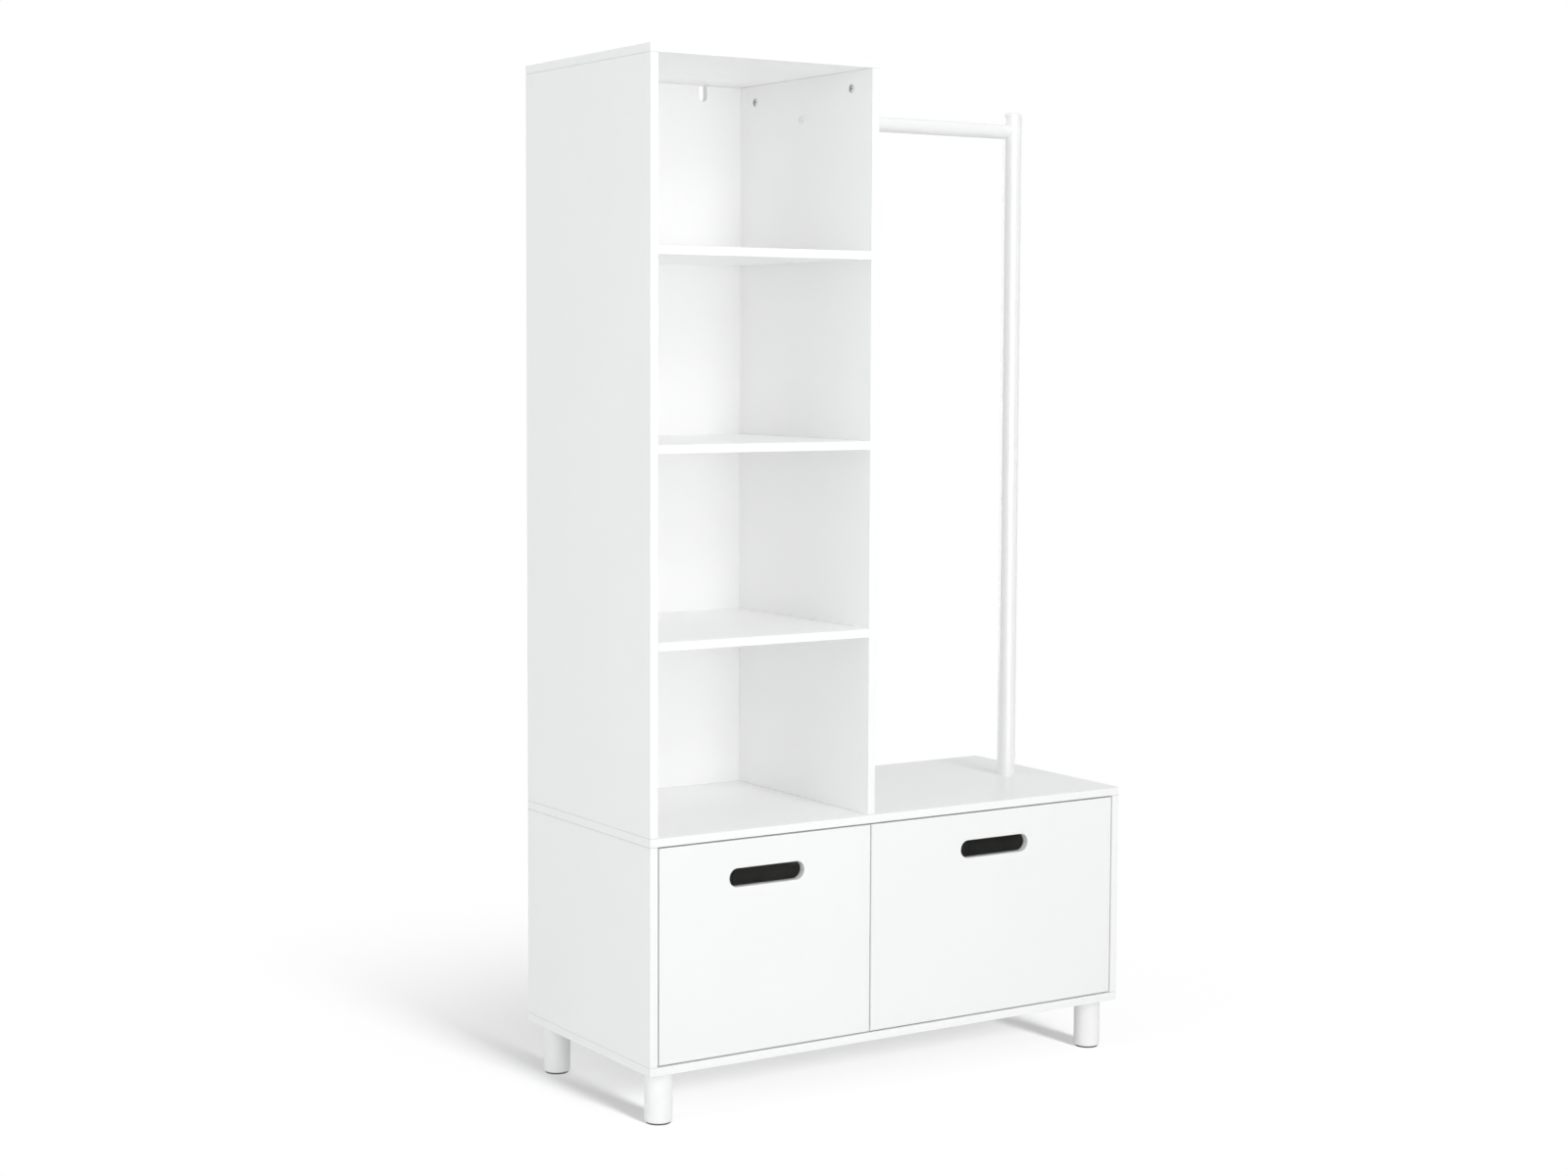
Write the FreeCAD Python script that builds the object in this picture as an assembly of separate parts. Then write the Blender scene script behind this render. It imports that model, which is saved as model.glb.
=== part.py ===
"""Children's shelving unit with a clothes rail.

A bench with two drawers stands on four round legs. A tower of four open bays stands on its left
half, and a tubular rail runs from the tower to a post on the right half. The drawers run on
telescopic slides with ball cages. Boards are joined by cam locks, dowels and screws.

Millimetres, +Z up, +X to the right, the front faces -Y. The origin lies on the floor under the
middle of the unit. Every piece is written to parts/NAME.step.
"""
import FreeCAD
import Part

import math
import os

# Overall sizes
bench_width = 1000.0
bench_height = 400.0            # box of the bench, without its legs
tower_width = 450.0
depth = 440.0
board = 15.0                    # thickness of every carcass board
bay_height = 310.0              # clear height of a tower bay
bay_count = 4

# Fits and cuts
fit = 0.1                       # play round a pin or a plug in its hole
hole_end_gap = 0.5              # room left at the end of a blind hole
overrun = 1.0                   # how far a cutting tool runs past a face

# Legs
leg_height = 87.0
leg_radius = 24.0
leg_inset = 38.0                # from the bench's edges to a leg's axis
leg_round = 2.5                 # rounding of the lower edge
leg_bolt_radius = 4.0
leg_bolt_in_leg = 30.0
nut_barrel_radius = 5.5
nut_flange_radius = 10.0
nut_flange = 1.5
nut_cover = 2.0                 # board left under the nut's barrel
glide_radius = 21.0
glide_thickness = 3.0

# Cam locks, which pull a bolt in the next board
cam_radius = 7.5
cam_reach = 30.0                # from the cam's axis to the joint
cam_cover = 2.5                 # board left under the cam
cam_cross = 9.0                 # screwdriver cross in the cam's face
cam_cross_width = 1.6
cam_cross_depth = 2.0
cam_bolt_head_radius = 3.2
cam_bolt_neck_radius = 2.0
cam_bolt_neck = 6.0
cam_bolt_radius = 3.0
cam_thread_radius = 2.5
cam_thread_cover = 4.0          # board left past the bolt's thread
cam_inset = 64.0                # from the front and rear edges

# Dowels
dowel_radius = 4.0
dowel_in_end = 20.0             # length in a board's end
dowel_cover = 5.0               # board left past a dowel in a face
dowel_inset = 150.0             # from the front and rear edges, between the cams
stack_dowel_inset = 110.0       # from the same edges, between the tower and the bench
shelf_dowel_inset = 50.0        # from a shelf's front and rear edges

# Screws and joining plates at the back
screw_radius = 2.0
screw_head_radius = 4.0
screw_head = 2.5                # depth of the countersunk head
screw_tip = 4.0
back_screw_length = 40.0
back_screw_inset = 100.0        # from a shelf's ends
divider_screw_inset = 90.0      # from the divider's upper and lower ends
plate_width = 30.0
plate_height = 110.0
plate_thickness = 2.0
plate_inset = 60.0              # from the tower's sides to a plate's middle
plate_screw_length = 12.0
plate_screw_inset = 15.0        # from a plate's ends

# Notches in the upper edge of the tower's back, for a strap to the wall
notch_width = 17.0
notch_depth = 29.0
notch_inset = 81.0              # from the inner face of a side to a notch's middle

# Clothes rail and its post
rail_radius = 13.5
post_radius = 17.0
tube_wall = 1.5
rail_drop = 87.0                # from the tower's top to the rail's axis
post_inset = 94.0               # from the bench's right edge to the post's axis
post_rise = 28.0                # tube of the post above the rail's axis
cap_thickness = 8.0
cap_round = 6.0
cap_spigot = 10.0
insert_length = 28.0
rail_bolt_radius = 3.0
rail_bolt_head_radius = 6.0
rail_bolt_head = 3.2
rail_bolt_in_insert = 20.0
socket_width = 4.0              # across the flats of the hexagon
socket_depth = 2.0
saddle_radius = 7.0
saddle_thickness = 3.0
post_bolt_radius = 4.0
post_bolt_head_radius = 7.0
post_bolt_head = 4.5
post_bolt_in_insert = 22.0

# Drawers
front_gap = 2.5                 # round the fronts
slot_width = 150.0
slot_height = 32.0
slot_drop = 48.5                # from a front's upper edge to its slot
drawer_lift = 12.0              # of the box over the bench's bottom
box_under_slot = 20.0           # from a slot's lower edge to the box's upper edge
drawer_rear_gap = 10.0          # from the box to the bench's back
drawer_bottom_thickness = 6.0
drawer_bottom_lift = 10.0       # from a side's lower edge to the bottom board
groove_depth = 6.5
groove_play = 0.5               # between the bottom board's edge and its groove
drawer_dowel_inset = 30.0       # from a side's upper and lower edges

# Telescopic slides
slide_depth = 12.7              # room between the bench and a drawer box
slide_height = 45.0
slide_steel = 1.2
slide_bend = 2.2
slide_lip = 1.6
slide_run = 0.3                 # gap between members
slide_lift = 90.0               # of the slide's middle over the box's lower edge
slide_setback = 7.0             # of the slides behind the fronts
slide_rear_gap = 13.0
ball_radius = 1.65
ball_play = 0.2
balls_in_row = 3
cage_steel = 0.6
cage_margin = 1.0               # of the cage past its balls
cage_start_share = 0.28
cage_length_share = 0.40

# Levels and edges worked out from the sizes above
left = -bench_width / 2
right = bench_width / 2
front = -depth / 2
rear = depth / 2
base_z = glide_thickness + leg_height
floor_z = base_z + board                        # upper face of the bench's bottom
bench_z = base_z + bench_height                 # upper face of the bench
ceiling_z = bench_z - board
bay_pitch = bay_height + board
tower_z = bench_z + bay_count * bay_pitch       # top of the tower
tower_end_z = tower_z - board
tower_x = left + tower_width                    # outer face of the tower's right side
divider_x = tower_x - board
back_y = rear - board                           # inner face of the backs
front_back_y = front + board                    # rear face of the drawer fronts
rail_z = tower_z - rail_drop
post_x = right - post_inset

X = FreeCAD.Vector(1, 0, 0)
Y = FreeCAD.Vector(0, 1, 0)
Z = FreeCAD.Vector(0, 0, 1)

pieces = {}
tools = {}


def add(node, *solids):
    """Puts solids into a node."""
    pieces.setdefault(node, []).extend(solids)


def drill(node, *cutters):
    """Notes what is to be cut out of a node."""
    tools.setdefault(node, []).extend(cutters)


def point(x, y, z):
    return FreeCAD.Vector(x, y, z)


def block(x, y, z):
    """A box between two values along each axis."""
    return Part.makeBox(x[1] - x[0], y[1] - y[0], z[1] - z[0], point(x[0], y[0], z[0]))


def rod(radius, start, end):
    """A round bar between two points."""
    return Part.makeCylinder(radius, (end - start).Length, start, end - start)


def tube(radius, start, end):
    """A round tube between two points."""
    past = (end - start).normalize() * overrun
    return rod(radius, start, end).cut(rod(radius - tube_wall, start - past, end + past))


def plug(radius, start, end, hole_radius):
    """A bored plug that fits into a tube of a radius, between two points."""
    past = (end - start).normalize() * overrun
    return rod(radius - tube_wall - fit, start, end).cut(rod(hole_radius, start - past, end + past))


def turned(steps):
    """A turned piece along +X from the origin, from steps of two radii and a length."""
    outline = [point(0, 0, 0)]
    reach = 0
    for first_radius, last_radius, length in steps:
        outline.append(point(reach, first_radius, 0))
        reach += length
        outline.append(point(reach, last_radius, 0))
    outline.append(point(reach, 0, 0))
    outline.append(outline[0])
    return Part.Face(Part.makePolygon(outline)).revolve(point(0, 0, 0), X)


def seated(shape, spot, along, outward):
    """A copy of a fitting made along +X and facing +Z, moved to its seat."""
    turn = FreeCAD.Rotation(along, outward.cross(along), outward, "XZY")
    copy = shape.copy()
    copy.Placement = FreeCAD.Placement(spot, turn).multiply(copy.Placement)
    return copy


def across(along):
    """Any direction square to one of the axes."""
    return X if abs(along.z) > abs(along.x) else Z


def rounded_bar(x, y, z, radius):
    """A box whose edges along Y are rounded."""
    bar = block(x, y, z)
    long_edges = [e for e in bar.Edges if abs(e.Vertexes[0].Y - e.Vertexes[1].Y) > radius]
    return bar.makeFillet(radius, long_edges)


def slot(x, y, z):
    """A slot through the depth y, fully rounded at the ends of its longer side."""
    wide = x[1] - x[0] > z[1] - z[0]
    radius = min(x[1] - x[0], z[1] - z[0]) / 2
    if wide:
        ends = [point(x[0] + radius, y[0], z[0] + radius), point(x[1] - radius, y[0], z[0] + radius)]
        body = block((x[0] + radius, x[1] - radius), y, z)
    else:
        ends = [point(x[0] + radius, y[0], z[0] + radius), point(x[0] + radius, y[0], z[1] - radius)]
        body = block(x, y, (z[0] + radius, z[1] - radius))
    through = Y * (y[1] - y[0])
    return body.fuse([rod(radius, end, end + through) for end in ends]).removeSplitter()


def hexagon(spot, along, width, length):
    """A hexagonal bar of a width across flats, from a spot along X or Z."""
    side = across(along)
    third = along.cross(side)
    radius = width / math.sqrt(3)
    corners = []
    for turn in range(7):
        angle = math.radians(60 * turn)
        corners.append(spot + side * (radius * math.cos(angle)) + third * (radius * math.sin(angle)))
    return Part.Face(Part.makePolygon(corners)).extrude(along * length)


def make_cam_lock():
    """The cam's round body, with its screwdriver cross and the pocket that takes the bolt's head."""
    pocket_radius = cam_bolt_head_radius + 2 * fit
    body = rod(cam_radius, point(0, 0, cam_cover - board), point(0, 0, 0))
    bolt_start = point(-pocket_radius, 0, -board / 2)
    pocket = rod(pocket_radius, bolt_start, bolt_start + X * (cam_radius + pocket_radius + overrun))
    long_side = (-cam_cross / 2, cam_cross / 2)
    short_side = (-cam_cross_width / 2, cam_cross_width / 2)
    cross_depth = (-cam_cross_depth, overrun)
    cross = [block(long_side, short_side, cross_depth), block(short_side, long_side, cross_depth)]
    return body.cut([pocket] + cross)


def make_cam_bolt(play):
    """The bolt's outline, from its head in the cam to its thread in the next board."""
    head = cam_bolt_head_radius + play
    neck = cam_bolt_neck_radius + play
    shank = cam_bolt_radius + play
    thread = cam_thread_radius + play
    shank_length = cam_reach - cam_bolt_neck
    thread_length = board - cam_thread_cover + play
    bolt = turned([
        (head, head, cam_bolt_head_radius),
        (neck, neck, cam_bolt_neck),
        (shank, shank, shank_length),
        (thread, thread, thread_length),
    ])
    bolt.translate(point(-cam_bolt_head_radius, 0, -board / 2))
    return bolt


def cam_joint(carrier, mate, spot, along, outward, locks="cam_locks", bolts="cam_bolts"):
    """A cam in the carrier's face at a spot, and its bolt along to the mating board."""
    add(locks, seated(make_cam_lock(), spot, along, outward))
    add(bolts, seated(make_cam_bolt(0), spot, along, outward))
    seat = rod(cam_radius + fit, spot + outward * overrun, spot - outward * (board - cam_cover))
    axis_spot = spot - outward * (board / 2)
    passage = rod(cam_bolt_radius + fit, axis_spot, axis_spot + along * (cam_reach + overrun))
    drill(carrier, seat, passage)
    drill(mate, seated(make_cam_bolt(fit), spot, along, outward))


def dowel_joint(carrier, mate, spot, along, node="dowels"):
    """A dowel in the carrier's end and the mating board's face, across the joint at a spot."""
    in_face = board - dowel_cover
    add(node, rod(dowel_radius, spot - along * dowel_in_end, spot + along * in_face))
    hole_radius = dowel_radius + fit
    drill(carrier, rod(hole_radius, spot - along * (dowel_in_end + hole_end_gap), spot + along * overrun))
    drill(mate, rod(hole_radius, spot - along * overrun, spot + along * (in_face + hole_end_gap)))


def screw_joint(node, boards, spot, along, length):
    """A countersunk screw, its head flush with the face at a spot, through boards along its way."""
    shank = length - screw_head - screw_tip
    for play, targets in ((0, None), (fit, boards)):
        outline = turned([
            (screw_head_radius + play, screw_radius + play, screw_head),
            (screw_radius + play, screw_radius + play, shank),
            (screw_radius + play, 0, screw_tip + play),
        ])
        placed = seated(outline, spot, along, across(along))
        if targets is None:
            add(node, placed)
        else:
            for target in targets:
                drill(target, placed)


def both_edges(inset):
    """Places at an inset from the front and rear edges, as Y values."""
    return (front + inset, rear - inset)


def build_bench():
    """The drawer bench: top and bottom over the whole width, sides, divider and back between them."""
    full_x = (left, right)
    full_y = (front, rear)
    side_z = (floor_z, ceiling_z)
    divider_y = (front_back_y + front_gap, back_y)
    add("bench_bottom", block(full_x, full_y, (base_z, floor_z)))
    add("bench_top", block(full_x, full_y, (ceiling_z, bench_z)))
    add("bench_left_side", block((left, left + board), full_y, side_z))
    add("bench_right_side", block((right - board, right), full_y, side_z))
    add("bench_divider", block((divider_x, tower_x), divider_y, side_z))
    add("bench_back", block((left + board, right - board), (back_y, rear), side_z))
    for side, face_x, outward in (
        ("bench_left_side", left + board, X),
        ("bench_right_side", right - board, -X),
    ):
        for y in both_edges(cam_inset):
            cam_joint(side, "bench_top", point(face_x, y, ceiling_z - cam_reach), Z, outward)
            cam_joint(side, "bench_bottom", point(face_x, y, floor_z + cam_reach), -Z, outward)
    for side, middle_x in (
        ("bench_left_side", left + board / 2),
        ("bench_divider", tower_x - board / 2),
        ("bench_right_side", right - board / 2),
    ):
        for y in both_edges(dowel_inset):
            dowel_joint(side, "bench_top", point(middle_x, y, ceiling_z), Z)
            dowel_joint(side, "bench_bottom", point(middle_x, y, floor_z), -Z)
    for z in (floor_z + divider_screw_inset, ceiling_z - divider_screw_inset):
        spot = point(tower_x - board / 2, rear, z)
        screw_joint("back_screws", ("bench_back", "bench_divider"), spot, -Y, back_screw_length)


def build_tower():
    """The shelf tower: two sides on the bench, a top over them, a back and three shelves between."""
    inner_x = (left + board, divider_x)
    full_y = (front, rear)
    side_z = (bench_z, tower_end_z)
    sides = (("tower_left_side", left, left + board, X), ("tower_right_side", tower_x, divider_x, -X))
    add("tower_top", block((left, tower_x), full_y, (tower_end_z, tower_z)))
    add("tower_back", block(inner_x, (back_y, rear), side_z))
    for side, outer_x, inner_face_x, outward in sides:
        middle_x = (outer_x + inner_face_x) / 2
        add(side, block(sorted((outer_x, inner_face_x)), full_y, side_z))
        for y in both_edges(cam_inset):
            cam_joint(side, "tower_top", point(inner_face_x, y, tower_end_z - cam_reach), Z, outward)
        for y in both_edges(dowel_inset):
            dowel_joint(side, "tower_top", point(middle_x, y, tower_end_z), Z)
        for y in both_edges(stack_dowel_inset):
            dowel_joint(side, "bench_top", point(middle_x, y, bench_z), -Z)
    for number, name in enumerate(("shelf_lower", "shelf_middle", "shelf_upper"), start=1):
        top_z = bench_z + number * bay_pitch
        build_shelf(name, inner_x, top_z, sides)
    cut_notches(inner_x)


def build_shelf(name, inner_x, top_z, sides):
    """A fixed shelf on dowels, drawn to the sides by a cam under each end and screwed to the back."""
    middle_z = top_z - board / 2
    add(name, block(inner_x, (front, back_y), (top_z - board, top_z)))
    for side, _, face_x, outward in sides:
        for y in (front + shelf_dowel_inset, back_y - shelf_dowel_inset):
            dowel_joint(name, side, point(face_x, y, middle_z), -outward)
        cam_spot = point(face_x, (front + back_y) / 2, top_z - board) + outward * cam_reach
        cam_joint(name, side, cam_spot, -outward, -Z)
    for x in (inner_x[0] + back_screw_inset, inner_x[1] - back_screw_inset):
        screw_joint("back_screws", ("tower_back", name), point(x, rear, middle_z), -Y, back_screw_length)


def cut_notches(inner_x):
    """Two rounded notches in the upper edge of the tower's back."""
    for x in (inner_x[0] + notch_inset, inner_x[1] - notch_inset):
        width = (x - notch_width / 2, x + notch_width / 2)
        height = (tower_end_z - notch_depth, tower_end_z + notch_depth)
        drill("tower_back", slot(width, (back_y - overrun, rear + overrun), height))


def build_joining_plates():
    """Two steel plates let flush into the backs, which hold the tower down on the bench."""
    middle_z = (bench_z + ceiling_z) / 2
    height = (middle_z - plate_height / 2, middle_z + plate_height / 2)
    for x in (left + board + plate_inset, divider_x - plate_inset):
        width = (x - plate_width / 2, x + plate_width / 2)
        add("joining_plates", block(width, (rear - plate_thickness, rear), height))
        recess = block(width, (rear - plate_thickness, rear + overrun), height)
        for name in ("tower_back", "bench_top", "bench_back"):
            drill(name, recess)
        for name, z in (
            ("tower_back", height[1] - plate_screw_inset),
            ("bench_back", height[0] + plate_screw_inset),
        ):
            boards = ("joining_plates", name)
            screw_joint("plate_screws", boards, point(x, rear, z), -Y, plate_screw_length)


def build_legs():
    """Four turned legs on hanger bolts and flanged nuts, each with a felt glide."""
    corners = {
        "leg_front_left": (left + leg_inset, front + leg_inset),
        "leg_front_right": (right - leg_inset, front + leg_inset),
        "leg_rear_left": (left + leg_inset, rear - leg_inset),
        "leg_rear_right": (right - leg_inset, rear - leg_inset),
    }
    barrel = board - nut_cover
    for name, (x, y) in corners.items():
        foot = point(x, y, glide_thickness)
        seat = point(x, y, base_z)
        bolt_low = seat - Z * leg_bolt_in_leg
        leg = rod(leg_radius, foot, seat)
        lower_edge = [e for e in leg.Edges if e.Closed and abs(e.CenterOfMass.z - foot.z) < fit]
        add(name, leg.makeFillet(leg_round, lower_edge))
        drill(name, rod(leg_bolt_radius + fit, bolt_low - Z * hole_end_gap, seat + Z * overrun))
        add("leg_glides", rod(glide_radius, point(x, y, 0), foot))
        add("leg_bolts", rod(leg_bolt_radius, bolt_low, point(x, y, floor_z)))
        nut = turned([
            (nut_flange_radius, nut_flange_radius, nut_flange),
            (nut_barrel_radius, nut_barrel_radius, barrel),
        ])
        nut = seated(nut, point(x, y, floor_z + nut_flange), -Z, X)
        bore = rod(leg_bolt_radius + fit, point(x, y, base_z), point(x, y, floor_z + nut_flange + overrun))
        add("leg_nuts", nut.cut(bore))
        through = Z * (board + overrun)
        drill("bench_bottom", rod(nut_barrel_radius + fit, seat - Z * overrun, seat + through))


def build_rail():
    """The clothes rail, its post, and the plugs, bolts and cap in their ends."""
    axis = point(tower_x, 0, rail_z)
    joint = point(post_x, 0, rail_z)
    foot = point(post_x, 0, bench_z)
    post_top = joint + Z * post_rise
    post_outside = rod(post_radius + fit, foot, post_top)
    bolt_hole_radius = rail_bolt_radius + fit
    foot_hole_radius = post_bolt_radius + fit

    add("clothes_rail", tube(rail_radius, axis, joint).cut(post_outside))
    bolt_passage = rod(bolt_hole_radius, joint - X * (post_radius + overrun), joint)
    add("rail_post", tube(post_radius, foot, post_top).cut(bolt_passage))

    cap = rod(post_radius, post_top, post_top + Z * cap_thickness)
    upper_edge = [e for e in cap.Edges if e.Closed and e.CenterOfMass.z > post_top.z + fit]
    spigot = rod(post_radius - tube_wall - fit, post_top - Z * cap_spigot, post_top)
    add("post_cap", cap.makeFillet(cap_round, upper_edge).fuse(spigot).removeSplitter())

    add("rail_wall_insert", plug(rail_radius, axis, axis + X * insert_length, bolt_hole_radius))
    joint_start = joint - X * (post_radius + insert_length)
    joint_insert = plug(rail_radius, joint_start, joint, bolt_hole_radius)
    add("rail_joint_insert", joint_insert.cut(post_outside))
    add("post_foot_insert", plug(post_radius, foot, foot + Z * insert_length, foot_hole_radius))
    drill("bench_top", rod(foot_hole_radius, foot - Z * (board + overrun), foot + Z * overrun))

    wall_head = axis - X * (board + rail_bolt_head)
    add("rail_bolt", seated(rail_screw(board + rail_bolt_in_insert), wall_head, X, Z))
    drill("tower_right_side", rod(bolt_hole_radius, wall_head, axis + X * overrun))

    # The joint's bolt and saddle sit inside the post and are reached from above, without the cap
    bore_radius = post_radius - tube_wall
    wall = joint - X * bore_radius
    seat = wall + X * saddle_thickness
    saddle = rod(saddle_radius, wall, seat).common(rod(bore_radius - fit, foot, post_top))
    add("joint_saddle", saddle.cut(rod(bolt_hole_radius, wall, seat + X * overrun)))
    joint_shank = saddle_thickness + tube_wall + rail_bolt_in_insert
    add("joint_bolt", seated(rail_screw(joint_shank), seat + X * rail_bolt_head, -X, Z))

    shank = board + post_bolt_in_insert
    post_bolt = headed_bolt(post_bolt_head_radius, post_bolt_head, post_bolt_radius, shank)
    add("post_bolt", seated(post_bolt, foot - Z * (board + post_bolt_head), Z, X))


def rail_screw(length):
    """One of the two bolts that hold the rail's ends."""
    return headed_bolt(rail_bolt_head_radius, rail_bolt_head, rail_bolt_radius, length)


def headed_bolt(head_radius, head, radius, length):
    """A bolt along +X with a hexagon socket in its head."""
    bolt = turned([(head_radius, head_radius, head), (radius, radius, length)])
    return bolt.cut(hexagon(-X * overrun, X, socket_width, socket_depth + overrun))


def build_drawer(side, opening_x, front_x):
    """A drawer: a front with a finger slot, two sides, a back and a bottom in grooves."""
    front_z = (floor_z + front_gap, ceiling_z - front_gap)
    slot_z = (front_z[1] - slot_drop - slot_height, front_z[1] - slot_drop)
    box_x = (opening_x[0] + slide_depth, opening_x[1] - slide_depth)
    inner_x = (box_x[0] + board, box_x[1] - board)
    box_z = (floor_z + drawer_lift, slot_z[0] - box_under_slot)
    box_rear = back_y - drawer_rear_gap
    inner_y = (front_back_y, box_rear - board)
    bottom_z = (box_z[0] + drawer_bottom_lift, box_z[0] + drawer_bottom_lift + drawer_bottom_thickness)

    parts = ("front", "left_side", "right_side", "back", "bottom", "dowels")
    names = {part: f"{side}_drawer_{part}" for part in parts}
    add(names["front"], block(front_x, (front, front_back_y), front_z))
    add(names["left_side"], block((box_x[0], inner_x[0]), (front_back_y, box_rear), box_z))
    add(names["right_side"], block((inner_x[1], box_x[1]), (front_back_y, box_rear), box_z))
    add(names["back"], block(inner_x, (inner_y[1], box_rear), box_z))

    middle_x = (front_x[0] + front_x[1]) / 2
    slot_x = (middle_x - slot_width / 2, middle_x + slot_width / 2)
    drill(names["front"], slot(slot_x, (front - overrun, front_back_y + overrun), slot_z))

    groove_x = (inner_x[0] - groove_depth, inner_x[1] + groove_depth)
    groove_y = (inner_y[0] - groove_depth, inner_y[1] + groove_depth)
    groove = block(groove_x, groove_y, bottom_z)
    for part in ("front", "left_side", "right_side", "back"):
        drill(names[part], groove)
    bottom_x = (groove_x[0] + groove_play, groove_x[1] - groove_play)
    bottom_y = (groove_y[0] + groove_play, groove_y[1] - groove_play)
    add(names["bottom"], block(bottom_x, bottom_y, bottom_z))

    dowel_z = (box_z[0] + drawer_dowel_inset, (box_z[0] + box_z[1]) / 2, box_z[1] - drawer_dowel_inset)
    for part, face_x, outward in (("left_side", inner_x[0], -X), ("right_side", inner_x[1], X)):
        for z in dowel_z:
            front_spot = point(face_x, front_back_y, z) + outward * (board / 2)
            back_spot = point(face_x, box_rear - board / 2, z)
            dowel_joint(names[part], names["front"], front_spot, -Y, names["dowels"])
            dowel_joint(names["back"], names[part], back_spot, outward, names["dowels"])

    slide_z = box_z[0] + slide_lift
    for wall_x, inward in ((opening_x[0], 1), (opening_x[1], -1)):
        build_slide(side, wall_x, inward, slide_z)


def build_slide(side, wall_x, inward, middle_z):
    """A telescopic slide: three nested channels, and between them two cages of balls."""
    start_y = front_back_y + slide_setback
    end_y = back_y - slide_rear_gap
    length = end_y - start_y
    run_y = (start_y, end_y)
    cut_y = (start_y - overrun, end_y + overrun)
    cage_start = start_y + cage_start_share * length
    cage_y = (cage_start, cage_start + cage_length_share * length)

    def wide(near, far):
        """Depths from the wall, as X values in rising order."""
        return sorted((wall_x + inward * near, wall_x + inward * far))

    def tall(half):
        return (middle_z - half, middle_z + half)

    outer_inside = slide_height / 2 - slide_steel
    outer_row = outer_inside - ball_play - ball_radius
    middle_outside = outer_row - ball_radius - ball_play
    middle_inside = middle_outside - slide_steel
    inner_row = middle_inside - ball_play - ball_radius
    inner_outside = inner_row - ball_radius - ball_play
    inner_inside = inner_outside - slide_steel
    outer_cage_web = slide_steel + slide_run
    middle_web = outer_cage_web + cage_steel + slide_run
    inner_cage_web = middle_web + slide_steel + slide_run
    inner_edge = inner_cage_web + cage_steel + slide_run
    lip_face = slide_depth - slide_steel - slide_run
    lip_back = lip_face - slide_steel
    inner_bend = slide_bend - slide_steel
    row_depth = slide_depth / 2

    def lipped_channel(web, half, inside_half):
        """A channel open towards the drawer, with lips that keep the balls in."""
        channel = rounded_bar(wide(web, lip_face), run_y, tall(half), slide_bend)
        inside = rounded_bar(wide(web + slide_steel, lip_back), cut_y, tall(inside_half), inner_bend)
        mouth = block(wide(web + 2 * slide_steel, lip_face + overrun), cut_y, tall(inside_half - slide_lip))
        return channel.cut([inside, mouth])

    def ball_cage(web, row):
        """A thin channel with its balls, which stand in holes through the flanges."""
        cage_face = row_depth + ball_radius + cage_margin
        cage = block(wide(web, cage_face), cage_y, tall(row + cage_steel / 2))
        inside = block(wide(web + cage_steel, cage_face + overrun), cut_y, tall(row - cage_steel / 2))
        x = wall_x + inward * row_depth
        step = (cage_y[1] - cage_y[0]) / balls_in_row
        balls = []
        holes = []
        for number in range(balls_in_row):
            y = cage_y[0] + (number + 0.5) * step
            hole_z = tall(row + cage_steel)
            holes.append(rod(ball_radius + fit, point(x, y, hole_z[0]), point(x, y, hole_z[1])))
            balls += [Part.makeSphere(ball_radius, point(x, y, z)) for z in tall(row)]
        return [cage.cut([inside] + holes)] + balls

    add(f"{side}_slide_outer_members", lipped_channel(0, slide_height / 2, outer_inside))
    add(f"{side}_slide_middle_members", lipped_channel(middle_web, middle_outside, middle_inside))
    open_edge = inner_edge - 2 * slide_bend
    inner = rounded_bar(wide(inner_edge - slide_bend, slide_depth), run_y, tall(inner_outside), slide_bend)
    hollow_x = wide(open_edge, slide_depth - slide_steel)
    hollow = rounded_bar(hollow_x, cut_y, tall(inner_inside), inner_bend)
    trim = block(wide(open_edge, inner_edge), cut_y, tall(slide_height))
    add(f"{side}_slide_inner_members", inner.cut([hollow, trim]))
    add(f"{side}_slide_outer_cages", *ball_cage(outer_cage_web, outer_row))
    add(f"{side}_slide_inner_cages", *ball_cage(inner_cage_web, inner_row))


def write_pieces():
    """Cuts the drillings out of every node and writes it."""
    os.makedirs("parts", exist_ok=True)
    for node, solids in pieces.items():
        cutters = tools.get(node)
        if cutters:
            solids = [part for solid in solids for part in solid.cut(cutters).Solids]
        shape = Part.makeCompound(solids)
        shape.exportStep(f"parts/{node}.step")
        print(f"{node}: {len(shape.Solids)} solids, {shape.Volume / 1000:.1f} cm3, valid {shape.isValid()}")


build_bench()
build_tower()
build_joining_plates()
build_legs()
build_rail()
half_gap = front_gap / 2
front_meeting_x = tower_x - board / 2
left_front_x = (left + board + front_gap, front_meeting_x - half_gap)
right_front_x = (front_meeting_x + half_gap, right - board - front_gap)
build_drawer("left", (left + board, divider_x), left_front_x)
build_drawer("right", (tower_x, right - board), right_front_x)
write_pieces()
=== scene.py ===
"""A white shelving unit with a clothes rail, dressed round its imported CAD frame.

Metres, +Z up, +X to the right, and the front faces -Y. Carcass boards, drawer boxes, slides, legs and
small fittings stay as the frame gives them, with rounded edges and finishes. The finer forms are
modelled anew: drawer fronts, rail, post, cap, glides, cam locks and screws.
"""

import math

import bmesh
import bpy
from mathutils import Matrix, Vector


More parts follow.
